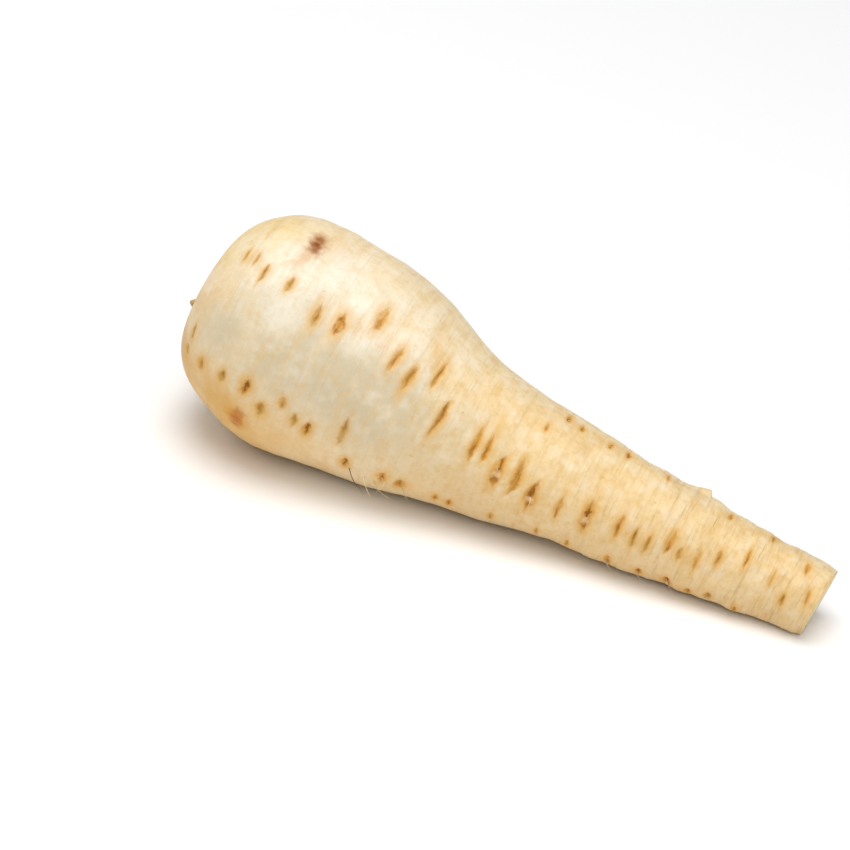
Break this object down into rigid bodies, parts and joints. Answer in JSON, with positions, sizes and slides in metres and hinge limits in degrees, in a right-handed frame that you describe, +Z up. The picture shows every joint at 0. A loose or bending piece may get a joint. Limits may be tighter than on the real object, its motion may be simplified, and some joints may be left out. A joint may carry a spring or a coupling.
{
  "type": "parsnip",
  "caption": "Whole parsnip lying on its side: broad rounded shoulder with a sunken trimmed crown, tapering body with rows of side-root scars, and a squarely cut tail.",
  "frame": {"origin": "centre of the bounding box's underside, on the surface that the parsnip lies on", "axes": "+Z up; +X along the root from the crown to the cut tail; +Y completes the right-handed frame, away from the side with the most scars"},
  "size_m": [0.1926, 0.066, 0.068],
  "materials": {
    "skin": "cream root skin, smooth and slightly waxy, with orange-brown slit scars",
    "stalk_base": "dry matt cork, tan with dark brown edges",
    "young_leaf": "soft yellow-green plant tissue, slightly glossy"
  },
  "bodies": {
    "root": {"root": "skin", "leaf_stalk_plate": "stalk_base", "leaf_buds": "young_leaf"}
  },
  "joints": []
}
